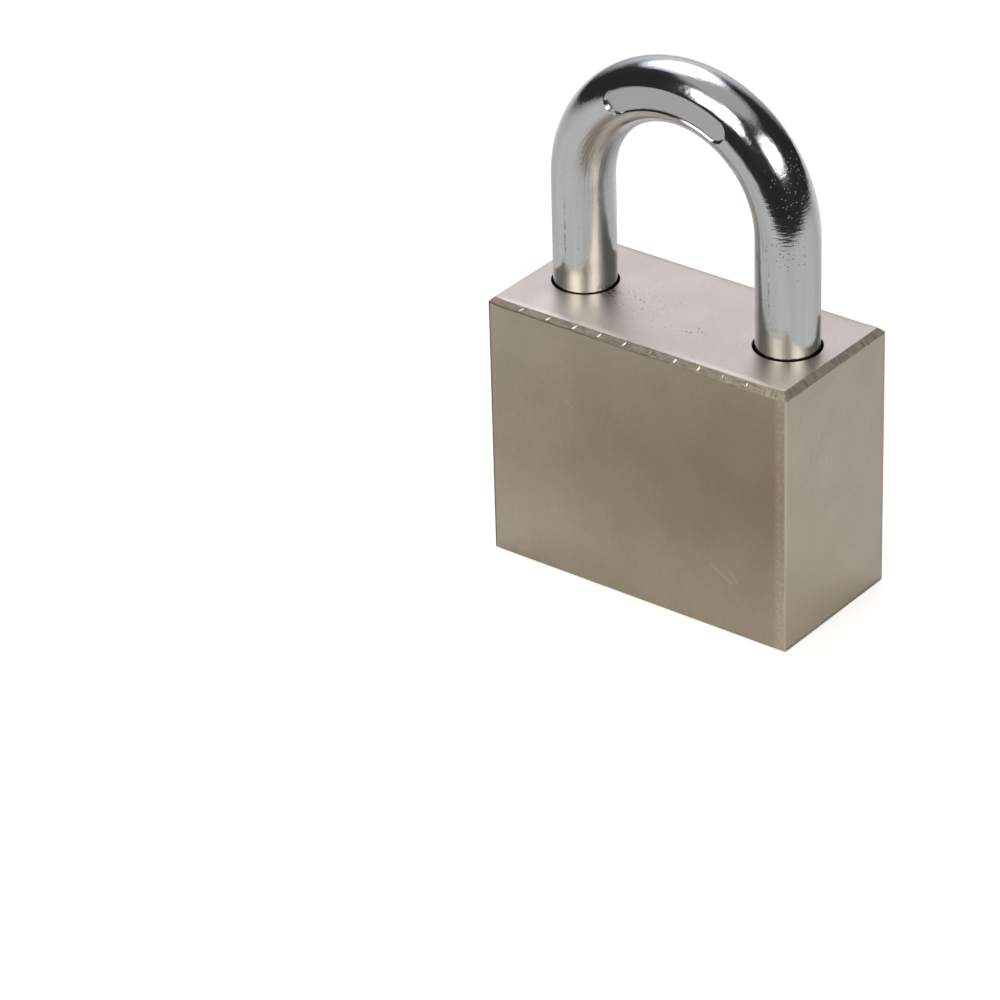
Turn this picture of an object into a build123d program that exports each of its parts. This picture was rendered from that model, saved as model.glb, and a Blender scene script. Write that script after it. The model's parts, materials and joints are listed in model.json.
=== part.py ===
from build123d import *
import math
import os

# A solid steel padlock: a square-cornered block, a round-rod shackle held by two balls,
# and a cylinder of rotating discs that takes a flat key from below.
# Millimetres. The origin is the middle of the bottom face, +Z runs up to the bow,
# +X to the toe leg, and the front face looks along -Y.

# Case block
BODY_WIDTH = 50.0
BODY_DEPTH = 24.0
BODY_HEIGHT = 40.0
TOP_CHAMFER = 0.75
CORNER_ROUND = 0.25

# Shackle
ROD_DIAMETER = 9.0
LEG_SPACING = 34.0
LEG_SHOWING = 16.2        # straight rod between the case and the bow
LEG_HOLE_GAP = 0.3        # radial gap round each leg
TOE_DEPTH = 12.3          # toe leg inside the case
TOE_FLOOR_GAP = 0.2       # under the toe when it is locked
TOE_RAISED_GAP = 1.2      # between the raised toe and the case
COLLAR_HEIGHT = 3.6       # full rod left under the heel's ring groove
HEEL_FLOOR = 4.0          # case under the heel hole
END_CHAMFER = 0.8
RECESS_WIDTH = 3.6        # bare stamped recess on the bow's front
RECESS_DEPTH = 0.6
RECESS_START = 62.0       # degrees along the bow, from the toe's side
RECESS_SWEEP = 57.0

# Locking balls
BALL_DIAMETER = 8.0
BALL_BELOW_TOP = 8.0
BALL_BITE = 2.0           # reach of a locked ball into its leg
TOE_BALL_FREE = 1.7       # gap between the toe ball and the leg line when raised
HEEL_BITE_KEPT = 1.0      # reach of the heel ball that holds the raised heel
NOTCH_GAP = 0.15
CHANNEL_GAP = 0.05
PLUG_CLEAR = 0.2          # between the channel's plug and the heel hole
CHANNEL_FLOOR = 1.45      # between the ball channel and the cylinder's cap

# Heel spring
SPRING_WIRE = 1.1
SPRING_PITCH = 1.53       # as held under the locked heel
SPRING_SIDE_GAP = 0.5     # between the coil and the heel hole
SPRING_END_GAP = 0.05

# Cylinder sleeve, cap and pin
SLEEVE_DIAMETER = 17.0
SLEEVE_WALL = 1.5
SLEEVE_RECESS = 0.3       # sleeve above the case's bottom face
LIP_THICKNESS = 1.5
LIP_OVERHANG = 1.0
CAP_THICKNESS = 1.5
PIN_DIAMETER = 3.0
PIN_HEIGHT = 12.0
PIN_BITE = 0.9            # reach of the pin into the sleeve's wall
RELIEF_DEPTH = 0.8        # sleeve's side-bar relief

# Drum, discs and spacers
DRUM_GAP = 0.05
DRUM_WALL = 1.35
WEB_THICKNESS = 2.0       # the drum's top
PLATE_THICKNESS = 1.5
PLATE_FACE_RECESS = 0.2   # key plate's boss above the sleeve's lip face
KEYHOLE_WIDTH = 7.2
KEYHOLE_HEIGHT = 3.2
KEYHOLE_CHAMFER = 0.3
DISC_GAP = 0.1
DISC_CODES = (45.0, 0.0, 60.0, 30.0, 60.0, 15.0, 0.0, 30.0)   # degrees behind the key, one per disc
FALSE_GATE_ANGLES = (40.0, -35.0)
FALSE_GATE_DEPTH = 0.35
SPACER_THICKNESS = 0.5
SPACER_RIM = 1.3
SPACER_LUG_WIDTH = 1.4
SPACER_LUG_REACH = 0.5
LUG_GAP = 0.1

# Side bar
BAR_WIDTH = 1.8
BAR_GAP = 0.05
BAR_END_GAP = 0.1
BAR_STAND = 0.75          # reach of the bar into the sleeve's relief
BAR_DROP = 0.8            # travel into the discs' gates
BAR_TIP_CHAMFER = 0.35
GATE_SIDE_GAP = 0.15
GATE_FLOOR_GAP = 0.15

# Locking cam
CAM_GAP = 0.1
CAM_END_GAP = 0.1
CAVITY_SIDE_GAP = 0.3
CAVITY_ROOM = 0.5         # cavity above the balls' channel
SPINDLE_DIAMETER = 7.8
SPINDLE_GAP = 0.1
TANG_WIDTH = 5.5
TANG_THICKNESS = 2.4
TANG_GAP = 0.1
TURN = 90.0               # degrees between locked and open
FLANK_POINTS = 9

# Sizes that follow from those above
rod_radius = ROD_DIAMETER / 2
leg_x = LEG_SPACING / 2
leg_hole_radius = rod_radius + LEG_HOLE_GAP
bow_z = BODY_HEIGHT + LEG_SHOWING
toe_z = BODY_HEIGHT - TOE_DEPTH
toe_hole_floor = toe_z - TOE_FLOOR_GAP
lift = TOE_DEPTH + TOE_RAISED_GAP

ball_radius = BALL_DIAMETER / 2
ball_z = BODY_HEIGHT - BALL_BELOW_TOP
ball_x = leg_x - rod_radius + BALL_BITE - ball_radius
toe_ball_travel = BALL_BITE + TOE_BALL_FREE
heel_ball_travel = BALL_BITE - HEEL_BITE_KEPT
channel_radius = ball_radius + CHANNEL_GAP
notch_radius = ball_radius + NOTCH_GAP

ring_groove_z = ball_z - lift
ring_groove_offset = rod_radius - HEEL_BITE_KEPT + ball_radius
ring_groove_half = math.sqrt(notch_radius ** 2 - (ring_groove_offset - rod_radius) ** 2)
heel_z = ring_groove_z - ring_groove_half - COLLAR_HEIGHT

sleeve_radius = SLEEVE_DIAMETER / 2
sleeve_bore = sleeve_radius - SLEEVE_WALL
lip_bore = sleeve_bore - LIP_OVERHANG
lip_top = SLEEVE_RECESS + LIP_THICKNESS
drum_radius = sleeve_bore - DRUM_GAP
chamber_radius = drum_radius - DRUM_WALL
disc_radius = chamber_radius - DISC_GAP
cap_top = ball_z - channel_radius - CHANNEL_FLOOR
sleeve_top = cap_top - CAP_THICKNESS
stack_z = lip_top + PLATE_THICKNESS
stack_top = sleeve_top - WEB_THICKNESS
disc_pitch = (stack_top - SPACER_THICKNESS - stack_z) / len(DISC_CODES)
disc_thickness = disc_pitch - SPACER_THICKNESS

gate_width = BAR_WIDTH + 2 * GATE_SIDE_GAP
bar_inner = disc_radius + BAR_GAP
bar_outer = drum_radius + BAR_STAND
gate_floor = bar_inner - BAR_DROP - GATE_FLOOR_GAP

cam_radius = ball_x - ball_radius - CAM_GAP
cavity_radius = cam_radius + CAVITY_SIDE_GAP
cavity_top = ball_z + channel_radius + CAVITY_ROOM
spindle_radius = SPINDLE_DIAMETER / 2


def upright(radius, bottom, top, x=0.0):
    """A cylinder along Z between two heights."""
    return Pos(x, 0, bottom) * Cylinder(radius, top - bottom, align=(Align.CENTER, Align.CENTER, Align.MIN))


def slab(outline, bottom, top):
    """A flat outline, drawn at Z = 0, as a solid between two heights."""
    return Pos(0, 0, bottom) * extrude(outline, amount=top - bottom)


def along_x(radius, start, end):
    """A cylinder along X at the height of the balls."""
    return Pos(start, 0, ball_z) * Rot(0, 90, 0) * Cylinder(
        radius, end - start, align=(Align.CENTER, Align.CENTER, Align.MIN))


def along_y(radius, start, end):
    """A cylinder along Y at the height of the sleeve's pin."""
    return Pos(0, start, PIN_HEIGHT) * Rot(-90, 0, 0) * Cylinder(
        radius, end - start, align=(Align.CENTER, Align.CENTER, Align.MIN))


def ball_path_cut(start, end):
    """The space a ball and its gap sweep between two points of the shackle."""
    run = Vector(*end) - Vector(*start)
    rod = Solid.make_cylinder(notch_radius, run.length, Plane(origin=start, z_dir=run))
    return rod + Pos(*start) * Sphere(notch_radius) + Pos(*end) * Sphere(notch_radius)


def lock_body():
    """The steel block with its leg holes, cylinder bore, cam cavity and ball channel."""
    block = Box(BODY_WIDTH, BODY_DEPTH, BODY_HEIGHT, align=(Align.CENTER, Align.CENTER, Align.MIN))
    block = chamfer(block.faces().sort_by(Axis.Z)[-1].edges(), TOP_CHAMFER)
    corners = block.edges().filter_by(lambda edge: edge.bounding_box().size.Z > TOP_CHAMFER / 2)
    block = fillet(corners, CORNER_ROUND)
    block -= upright(leg_hole_radius, HEEL_FLOOR, BODY_HEIGHT, -leg_x)
    block -= upright(leg_hole_radius, toe_hole_floor, BODY_HEIGHT, leg_x)
    block -= upright(sleeve_radius, 0, cap_top)
    block -= upright(cavity_radius, cap_top, cavity_top)
    block -= along_x(channel_radius, -BODY_WIDTH / 2, leg_x)
    block -= along_y(PIN_DIAMETER / 2, 0, BODY_DEPTH / 2)
    return block


def bow_recess():
    """The bare pill-shaped recess stamped into the front of the bow."""
    arc = CenterArc((0, 0), leg_x, RECESS_START, RECESS_SWEEP)
    floor_plane = Plane(origin=(0, -rod_radius + RECESS_DEPTH, bow_z), x_dir=(1, 0, 0), z_dir=(0, -1, 0))
    return extrude(floor_plane * SlotArc(arc, RECESS_WIDTH), amount=2 * RECESS_DEPTH)


def shackle():
    """The bent rod, with a ramped ball notch in each leg and a ring groove round the heel."""
    toe_foot = (leg_x, 0, toe_z)
    heel_foot = (-leg_x, 0, heel_z)
    toe_leg = Line(toe_foot, (leg_x, 0, bow_z))
    bow = ThreePointArc((leg_x, 0, bow_z), (0, 0, bow_z + leg_x), (-leg_x, 0, bow_z))
    heel_leg = Line((-leg_x, 0, bow_z), heel_foot)
    section = Plane(origin=toe_foot, z_dir=(0, 0, 1)) * Circle(rod_radius)
    rod = sweep(section, path=Wire([toe_leg, bow, heel_leg]))
    ends = rod.edges().filter_by(GeomType.CIRCLE).filter_by(lambda edge: edge.center().Z < ball_z)
    rod = chamfer(ends, END_CHAMFER)
    rod -= ball_path_cut((ball_x, 0, ball_z), (ball_x - toe_ball_travel, 0, ball_z - lift))
    rod -= ball_path_cut((-ball_x, 0, ball_z), (-ball_x + heel_ball_travel, 0, ball_z - lift))
    rod -= Pos(-leg_x, 0, ring_groove_z) * Torus(ring_groove_offset, notch_radius)
    return rod - bow_recess()


def heel_spring():
    """The coil that pushes the heel up."""
    coil_radius = leg_hole_radius - SPRING_SIDE_GAP - SPRING_WIRE / 2
    coil_height = heel_z - HEEL_FLOOR - SPRING_WIRE - SPRING_END_GAP
    foot = Pos(-leg_x, 0, HEEL_FLOOR + SPRING_WIRE / 2)
    helix = foot * Helix(SPRING_PITCH, coil_height, coil_radius)
    return sweep(Plane(origin=helix @ 0, z_dir=helix % 0) * Circle(SPRING_WIRE / 2), path=helix)


def channel_plug():
    """The flush plug that closes the drilled ball channel."""
    return along_x(channel_radius, -BODY_WIDTH / 2, -leg_x - leg_hole_radius - PLUG_CLEAR)


def cylinder_pin():
    """The dowel through the back of the case that holds the sleeve."""
    return along_y(PIN_DIAMETER / 2, sleeve_radius - PIN_BITE, BODY_DEPTH / 2)


def cylinder_sleeve():
    """The tube round the drum, with a lip below and an eccentric relief that wipes the side bar in."""
    deep_side = sleeve_bore + RELIEF_DEPTH
    shallow_side = sleeve_bore ** 2 / deep_side
    relief = Pos(0, -(deep_side - shallow_side) / 2) * Circle((deep_side + shallow_side) / 2)
    tube = upright(sleeve_radius, SLEEVE_RECESS, sleeve_top)
    tube -= upright(lip_bore, SLEEVE_RECESS, lip_top)
    tube -= slab(Circle(sleeve_bore) + relief, lip_top, sleeve_top)
    return tube - along_y(PIN_DIAMETER / 2, sleeve_radius - PIN_BITE, BODY_DEPTH / 2)


def sleeve_cap():
    """The washer between the sleeve and the cam cavity, bored for the cam's spindle."""
    ring = upright(sleeve_radius, sleeve_top, cap_top)
    return ring - upright(spindle_radius + SPINDLE_GAP, sleeve_top, cap_top)


def face_plate():
    """The key plate that fills the sleeve's lip and turns with the key."""
    plate = upright(drum_radius, lip_top, stack_z)
    plate += upright(lip_bore - DRUM_GAP, SLEEVE_RECESS + PLATE_FACE_RECESS, lip_top)
    plate -= slab(Rectangle(KEYHOLE_WIDTH, KEYHOLE_HEIGHT), SLEEVE_RECESS, stack_z)
    mouth = plate.faces().sort_by(Axis.Z)[0].inner_wires()[0].edges()
    return chamfer(mouth, KEYHOLE_CHAMFER)


def drum():
    """The slotted cup that holds the discs and drives the cam."""
    cup = upright(drum_radius, stack_z, sleeve_top) - upright(chamber_radius, stack_z, stack_top)
    slot = Pos(0, -drum_radius / 2) * Rectangle(BAR_WIDTH + 2 * BAR_GAP, drum_radius)
    lug_room = SPACER_LUG_REACH + LUG_GAP
    lug_groove = Pos(0, chamber_radius) * Rectangle(SPACER_LUG_WIDTH + 2 * LUG_GAP, 2 * lug_room)
    tang_slot = Rectangle(TANG_WIDTH + 2 * TANG_GAP, TANG_THICKNESS + 2 * TANG_GAP)
    cup -= slab(slot, stack_z, stack_top)
    cup -= slab(lug_groove, stack_z, stack_top)
    return cup - slab(tang_slot, stack_top, sleeve_top)


def gate(angle, floor_radius):
    """A notch in a disc's rim, counted in degrees from the side bar."""
    depth = chamber_radius - floor_radius
    return Rot(0, 0, angle - 90) * Pos(floor_radius + depth / 2, 0) * Rectangle(depth, gate_width)


def tumbler_disc(index):
    """A disc set by the key: its slot lies behind the keyhole by its code and its gate faces the bar."""
    bottom = stack_z + SPACER_THICKNESS + index * disc_pitch
    key_slot = Rot(0, 0, -DISC_CODES[index]) * Rectangle(KEYHOLE_WIDTH, KEYHOLE_HEIGHT)
    outline = Circle(disc_radius) - key_slot
    outline -= gate(0, gate_floor)
    for angle in FALSE_GATE_ANGLES:
        outline -= gate(angle, disc_radius - FALSE_GATE_DEPTH)
    return slab(outline, bottom, bottom + disc_thickness)


def spacer(index):
    """A washer between discs, held still in the drum by a lug."""
    bottom = stack_z + index * disc_pitch
    lug_reach = disc_radius + SPACER_LUG_REACH
    outline = Circle(disc_radius) + Pos(0, lug_reach / 2) * Rectangle(SPACER_LUG_WIDTH, lug_reach)
    outline -= Circle(disc_radius - SPACER_RIM)
    outline -= gate(0, gate_floor)
    return slab(outline, bottom, bottom + SPACER_THICKNESS)


def side_bar():
    """The bar between the sleeve and the discs' gates, with a bevelled outer edge."""
    depth = bar_outer - bar_inner
    outline = Pos(0, -(bar_inner + depth / 2)) * Rectangle(BAR_WIDTH, depth)
    bar = slab(outline, stack_z + BAR_END_GAP, stack_top - BAR_END_GAP)
    tip = bar.faces().sort_by(Axis.Y)[0].edges().filter_by(Axis.Z)
    return chamfer(tip, BAR_TIP_CHAMFER)


def cam_pocket(travel, start_angle):
    """The part of the cam that a ball rolls over as the cam turns, as a flat outline.

    The ball comes in at a constant rate, so its centre draws a spiral on the cam.
    """
    reach = ball_radius + CAM_GAP
    rate = travel / math.radians(TURN)
    flank = []
    for step in range(FLANK_POINTS + 1):
        turned = math.radians(TURN) * step / FLANK_POINTS
        distance = ball_x - rate * turned
        angle = math.radians(start_angle) - turned
        lean = angle - math.atan2(rate, distance)
        flank.append((distance * math.cos(angle) - reach * math.cos(lean),
                      distance * math.sin(angle) - reach * math.sin(lean)))
    locked_ball = Vector(ball_x, 0).rotate(Axis.Z, start_angle)
    open_ball = Vector(ball_x - travel, 0).rotate(Axis.Z, start_angle - TURN)
    far_side = Polyline(flank[-1], open_ball, open_ball + locked_ball, locked_ball, flank[0])
    swept = make_face([Spline(*flank), far_side])
    return swept + Pos(*locked_ball) * Circle(reach) + Pos(*open_ball) * Circle(reach)


def locking_cam():
    """The cam that backs the balls when locked and lets them in when turned, with its spindle and tang."""
    outline = Circle(cam_radius) - cam_pocket(toe_ball_travel, 0) - cam_pocket(heel_ball_travel, 180)
    cam_bottom = cap_top + CAM_END_GAP
    cam = slab(outline, cam_bottom, cavity_top - CAM_END_GAP)
    cam += upright(spindle_radius, sleeve_top, cam_bottom)
    return cam + slab(Rectangle(TANG_WIDTH, TANG_THICKNESS), stack_top, sleeve_top)


def pieces():
    """Every piece by its node name."""
    made = {
        "lock_body": lock_body(),
        "shackle": shackle(),
        "toe_ball": Pos(ball_x, 0, ball_z) * Sphere(ball_radius),
        "heel_ball": Pos(-ball_x, 0, ball_z) * Sphere(ball_radius),
        "heel_spring": heel_spring(),
        "channel_plug": channel_plug(),
        "cylinder_pin": cylinder_pin(),
        "cylinder_sleeve": cylinder_sleeve(),
        "sleeve_cap": sleeve_cap(),
        "face_plate": face_plate(),
        "drum": drum(),
        "side_bar": side_bar(),
        "locking_cam": locking_cam(),
    }
    for index in range(len(DISC_CODES)):
        made[f"tumbler_disc_{index + 1}"] = tumbler_disc(index)
    for index in range(len(DISC_CODES) + 1):
        made[f"spacer_{index + 1}"] = spacer(index)
    return made


os.makedirs("parts", exist_ok=True)
for name, solid in pieces().items():
    export_step(solid, f"parts/{name}.step")
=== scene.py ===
"""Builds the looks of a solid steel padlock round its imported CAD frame."""
import json
import math
from typing import NamedTuple

import bmesh
import bpy
from mathutils import Matrix, Vector, noise


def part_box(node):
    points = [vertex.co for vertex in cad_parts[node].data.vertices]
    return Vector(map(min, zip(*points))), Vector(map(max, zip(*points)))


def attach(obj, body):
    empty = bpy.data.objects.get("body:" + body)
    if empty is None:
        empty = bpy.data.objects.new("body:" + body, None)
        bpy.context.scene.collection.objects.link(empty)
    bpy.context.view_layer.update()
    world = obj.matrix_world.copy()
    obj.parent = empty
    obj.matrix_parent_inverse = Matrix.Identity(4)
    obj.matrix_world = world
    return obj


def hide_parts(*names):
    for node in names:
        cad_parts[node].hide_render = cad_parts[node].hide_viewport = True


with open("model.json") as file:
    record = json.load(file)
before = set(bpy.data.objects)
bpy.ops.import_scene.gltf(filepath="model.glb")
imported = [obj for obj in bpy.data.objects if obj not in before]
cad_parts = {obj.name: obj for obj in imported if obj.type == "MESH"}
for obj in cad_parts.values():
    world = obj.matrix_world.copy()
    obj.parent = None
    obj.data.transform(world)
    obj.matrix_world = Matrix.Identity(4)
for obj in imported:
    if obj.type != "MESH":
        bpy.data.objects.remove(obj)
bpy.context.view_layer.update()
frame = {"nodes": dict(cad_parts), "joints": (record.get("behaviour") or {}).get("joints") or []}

bl_info = {
    "name": "Padlock looks",
    "version": (1, 0, 0),
    "blender": (4, 5, 0),
    "location": "View3D > Sidebar > Padlock",
    "description": "Dresses a packed padlock: case block, shackle, cylinder, balls and stage",
    "category": "Object",
}

MM = 0.001

# Places and sizes that the frame gives
CASE_LOW, CASE_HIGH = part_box("lock_body")
SHACKLE_LOW, SHACKLE_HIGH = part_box("shackle")
BALL_LOW, BALL_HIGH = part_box("toe_ball")
PLUG_LOW, PLUG_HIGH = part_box("channel_plug")
PIN_LOW, PIN_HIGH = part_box("cylinder_pin")
CAP_LOW, CAP_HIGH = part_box("sleeve_cap")
CAM_LOW, CAM_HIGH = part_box("locking_cam")
SPRING_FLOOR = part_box("heel_spring")[0].z

ROD_RADIUS = SHACKLE_HIGH.y
LEG_X = SHACKLE_HIGH.x - ROD_RADIUS
BOW_Z = SHACKLE_HIGH.z - SHACKLE_HIGH.x
BALL_RADIUS = (BALL_HIGH.z - BALL_LOW.z) / 2
BALL_X = (BALL_HIGH.x + BALL_LOW.x) / 2
BALL_Z = (BALL_HIGH.z + BALL_LOW.z) / 2
JOINTS = {joint["name"]: joint for joint in frame["joints"]}
LIFT = JOINTS["shackle_lift"]["range_m"][1]
TOE_BALL_TRAVEL = JOINTS["toe_ball_slide"]["range_m"][1]
HEEL_BALL_TRAVEL = JOINTS["heel_ball_slide"]["range_m"][1]

# Fits between the pieces
LEG_HOLE_GAP = 0.3 * MM
TOE_DEPTH = 12.3 * MM
TOE_FLOOR_GAP = 0.2 * MM
NOTCH_GAP = 0.15 * MM
CAVITY_SIDE_GAP = 0.3 * MM
CAVITY_END_GAP = 0.1 * MM
END_CHAMFER = 0.8 * MM
CUT_OVERRUN = 2.0 * MM     # how far a cutter stands out of the face it opens


class CaseSettings(bpy.types.PropertyGroup):
    """Sizes and colours of the case block."""
    edge_round: bpy.props.FloatProperty(
        name="Edge round", description="Radius of the block's upright edges",
        default=0.25 * MM, min=0.0, unit="LENGTH", precision=5)
    edge_roll: bpy.props.FloatProperty(
        name="Edge roll", description="How far the faces fall away towards their edges",
        default=0.05 * MM, min=0.0, unit="LENGTH", precision=5)
    top_roll: bpy.props.FloatProperty(
        name="Top roll", description="How far the top face falls away towards its edges",
        default=0.12 * MM, min=0.0, unit="LENGTH", precision=5)
    chamfer: bpy.props.FloatProperty(
        name="Top chamfer", description="Height and width of the milled chamfer round the top",
        default=0.75 * MM, min=0.0, unit="LENGTH", precision=5)
    nick_spacing: bpy.props.FloatProperty(
        name="Nick spacing", description="Distance between the first nicks along the long chamfers",
        default=4.54 * MM, min=0.001, unit="LENGTH", precision=5)
    nick_depth: bpy.props.FloatProperty(
        name="Nick depth", description="Depth of a cutter nick",
        default=0.12 * MM, min=0.0, unit="LENGTH", precision=5)
    nickel: bpy.props.FloatVectorProperty(
        name="Nickel", description="Colour of the satin plate on the block",
        default=(0.74, 0.655, 0.555), subtype="COLOR", min=0.0, max=1.0)
    # the tarnish is the darker plate of the clouding, and painted shade too: it darkens the front and the top
    # before the toe leg
    tarnish_and_shade: bpy.props.FloatVectorProperty(
        name="Tarnish", description="Colour of the duller plate, most of it on the front",
        default=(0.60, 0.527, 0.425), subtype="COLOR", min=0.0, max=1.0)
    # painted reflection: the top is cooler because it mirrors the bluish lamps and ceiling, where the front
    # mirrors the warm floor
    top_cool_reflection: bpy.props.FloatVectorProperty(
        name="Top nickel", description="Colour of the cooler plate on the top face",
        default=(0.76, 0.675, 0.585), subtype="COLOR", min=0.0, max=1.0)
    milled: bpy.props.FloatVectorProperty(
        name="Milled edge", description="Colour of the plate on the milled chamfer",
        default=(0.72, 0.64, 0.54), subtype="COLOR", min=0.0, max=1.0)
    # the same bright colour is a painted highlight on the chamfer's front right mitre
    fresh_and_glint: bpy.props.FloatVectorProperty(
        name="Fresh cut", description="Colour of the bright nicks in the chamfer",
        default=(0.82, 0.77, 0.69), subtype="COLOR", min=0.0, max=1.0)
    rust: bpy.props.FloatVectorProperty(
        name="Rust", description="Colour of the stain at the heel hole's rim",
        default=(0.13, 0.085, 0.045), subtype="COLOR", min=0.0, max=1.0)
    bore: bpy.props.FloatVectorProperty(
        name="Bore", description="Colour of the oiled steel inside the drilled holes",
        default=(0.10, 0.08, 0.06), subtype="COLOR", min=0.0, max=1.0)


class ShackleSettings(bpy.types.PropertyGroup):
    """Sizes and colours of the shackle."""
    recess_width: bpy.props.FloatProperty(
        name="Recess width", description="Width of the stamped recess on the bow",
        default=3.6 * MM, min=0.0, unit="LENGTH", precision=5)
    recess_depth: bpy.props.FloatProperty(
        name="Recess depth", description="Depth of the recess on the bow's middle line",
        default=0.6 * MM, min=0.0, unit="LENGTH", precision=5)
    recess_wall: bpy.props.FloatProperty(
        name="Recess wall", description="Width of the rounded wall that leads into the recess",
        default=0.3 * MM, min=0.0, unit="LENGTH", precision=5)
    recess_start: bpy.props.FloatProperty(
        name="Recess start", description="Where the recess begins along the bow, from the toe's side",
        default=math.radians(62), subtype="ANGLE")
    recess_sweep: bpy.props.FloatProperty(
        name="Recess sweep", description="How far the recess runs along the bow",
        default=math.radians(57), subtype="ANGLE")
    chrome: bpy.props.FloatVectorProperty(
        name="Plate", description="Colour of the bright plate",
        default=(0.79, 0.815, 0.825), subtype="COLOR", min=0.0, max=1.0)
    stamped: bpy.props.FloatVectorProperty(
        name="Stamped floor", description="Colour of the matt floor of the recess",
        default=(0.71, 0.72, 0.715), subtype="COLOR", min=0.0, max=1.0)


class CylinderSettings(bpy.types.PropertyGroup):
    """Colours of the cylinder, the balls and the spring."""
    brass: bpy.props.FloatVectorProperty(
        name="Brass", description="Colour of the turned brass pieces",
        default=(0.78, 0.60, 0.30), subtype="COLOR", min=0.0, max=1.0)
    plated: bpy.props.FloatVectorProperty(
        name="Plated steel", description="Colour of the key plate, cam and discs",
        default=(0.66, 0.64, 0.61), subtype="COLOR", min=0.0, max=1.0)
    ball: bpy.props.FloatVectorProperty(
        name="Ball steel", description="Colour of the polished balls",
        default=(0.66, 0.66, 0.67), subtype="COLOR", min=0.0, max=1.0)
    spring: bpy.props.FloatVectorProperty(
        name="Spring steel", description="Colour of the drawn spring wire",
        default=(0.42, 0.42, 0.43), subtype="COLOR", min=0.0, max=1.0)


class StageSettings(bpy.types.PropertyGroup):
    """Camera, floor and studio."""
    camera_place: bpy.props.FloatVectorProperty(
        name="Camera", description="Where the camera stands",
        default=(0.35880, -0.49718, 0.36531), subtype="TRANSLATION", unit="LENGTH")
    heading: bpy.props.FloatProperty(
        name="Heading", description="How far the camera is turned from the case's front",
        default=math.radians(38.26), subtype="ANGLE")
    tilt: bpy.props.FloatProperty(
        name="Tilt", description="How far the camera looks down",
        default=math.radians(30.04), subtype="ANGLE")
    roll: bpy.props.FloatProperty(
        name="Roll", description="How far the camera leans",
        default=math.radians(-1.72), subtype="ANGLE")
    focal_length: bpy.props.FloatProperty(
        name="Focal length", description="Lens on a 36 mm sensor",
        default=182.25, unit="CAMERA")
    floor: bpy.props.FloatVectorProperty(
        name="Floor", description="Colour of the plain pale floor",
        default=(0.815, 0.81, 0.765), subtype="COLOR", min=0.0, max=1.0)
    floor_lift: bpy.props.FloatProperty(
        name="Floor lift", description="What the white background adds to the lit floor",
        default=0.62, min=0.0, max=1.0)
    # painted shadow: the floor in front of the case is darker and warmer for all rays but the camera's, so
    # that the metal mirrors a shadow there
    floor_painted_shadow: bpy.props.FloatVectorProperty(
        name="Floor tint",
        description="Warmer tone of the floor in front of the case, as the metal mirrors it",
        default=(0.44, 0.37, 0.295), subtype="COLOR", min=0.0, max=1.0)
    ceiling: bpy.props.FloatVectorProperty(
        name="Ceiling", description="Brightness of the studio's ceiling",
        default=(0.40, 0.40, 0.385), subtype="COLOR", min=0.0, max=1.0)
    walls: bpy.props.FloatVectorProperty(
        name="Walls", description="Brightness of the studio's dark walls",
        default=(0.022, 0.023, 0.022), subtype="COLOR", min=0.0, max=1.0)


class Wire:
    """A shader socket that takes part in Python arithmetic."""

    def __init__(self, graph, socket):
        self.graph = graph
        self.socket = socket

    def maths(self, operation, first, second=0.0, clamp=False):
        settings = {"operation": operation, "use_clamp": clamp}
        return self.graph.node("ShaderNodeMath", settings, {0: first, 1: second})

    def __abs__(self):
        return self.maths("ABSOLUTE", self)

    def __add__(self, other):
        return self.maths("ADD", self, other)

    __radd__ = __add__

    def __sub__(self, other):
        return self.maths("SUBTRACT", self, other)

    def __rsub__(self, other):
        return self.maths("SUBTRACT", other, self)

    def __mul__(self, other):
        return self.maths("MULTIPLY", self, other)

    __rmul__ = __mul__

    def __truediv__(self, other):
        return self.maths("DIVIDE", self, other)

    def __rtruediv__(self, other):
        return self.maths("DIVIDE", other, self)

    def __pow__(self, other):
        return self.maths("POWER", self, other)

    def other(self, output):
        """Another output of the same node."""
        return Wire(self.graph, self.socket.node.outputs[output])

    def held(self):
        """The value, kept between 0 and 1."""
        return self.maths("ADD", self, 0.0, clamp=True)

    def step(self, low, high):
        """0 below low, 1 above high, smooth between them; falls where low is above high."""
        if low > high:
            return 1 - self.step(high, low)
        settings = {"interpolation_type": "SMOOTHSTEP"}
        inputs = {"Value": self, "From Min": low, "From Max": high}
        return self.graph.node("ShaderNodeMapRange", settings, inputs)


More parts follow.
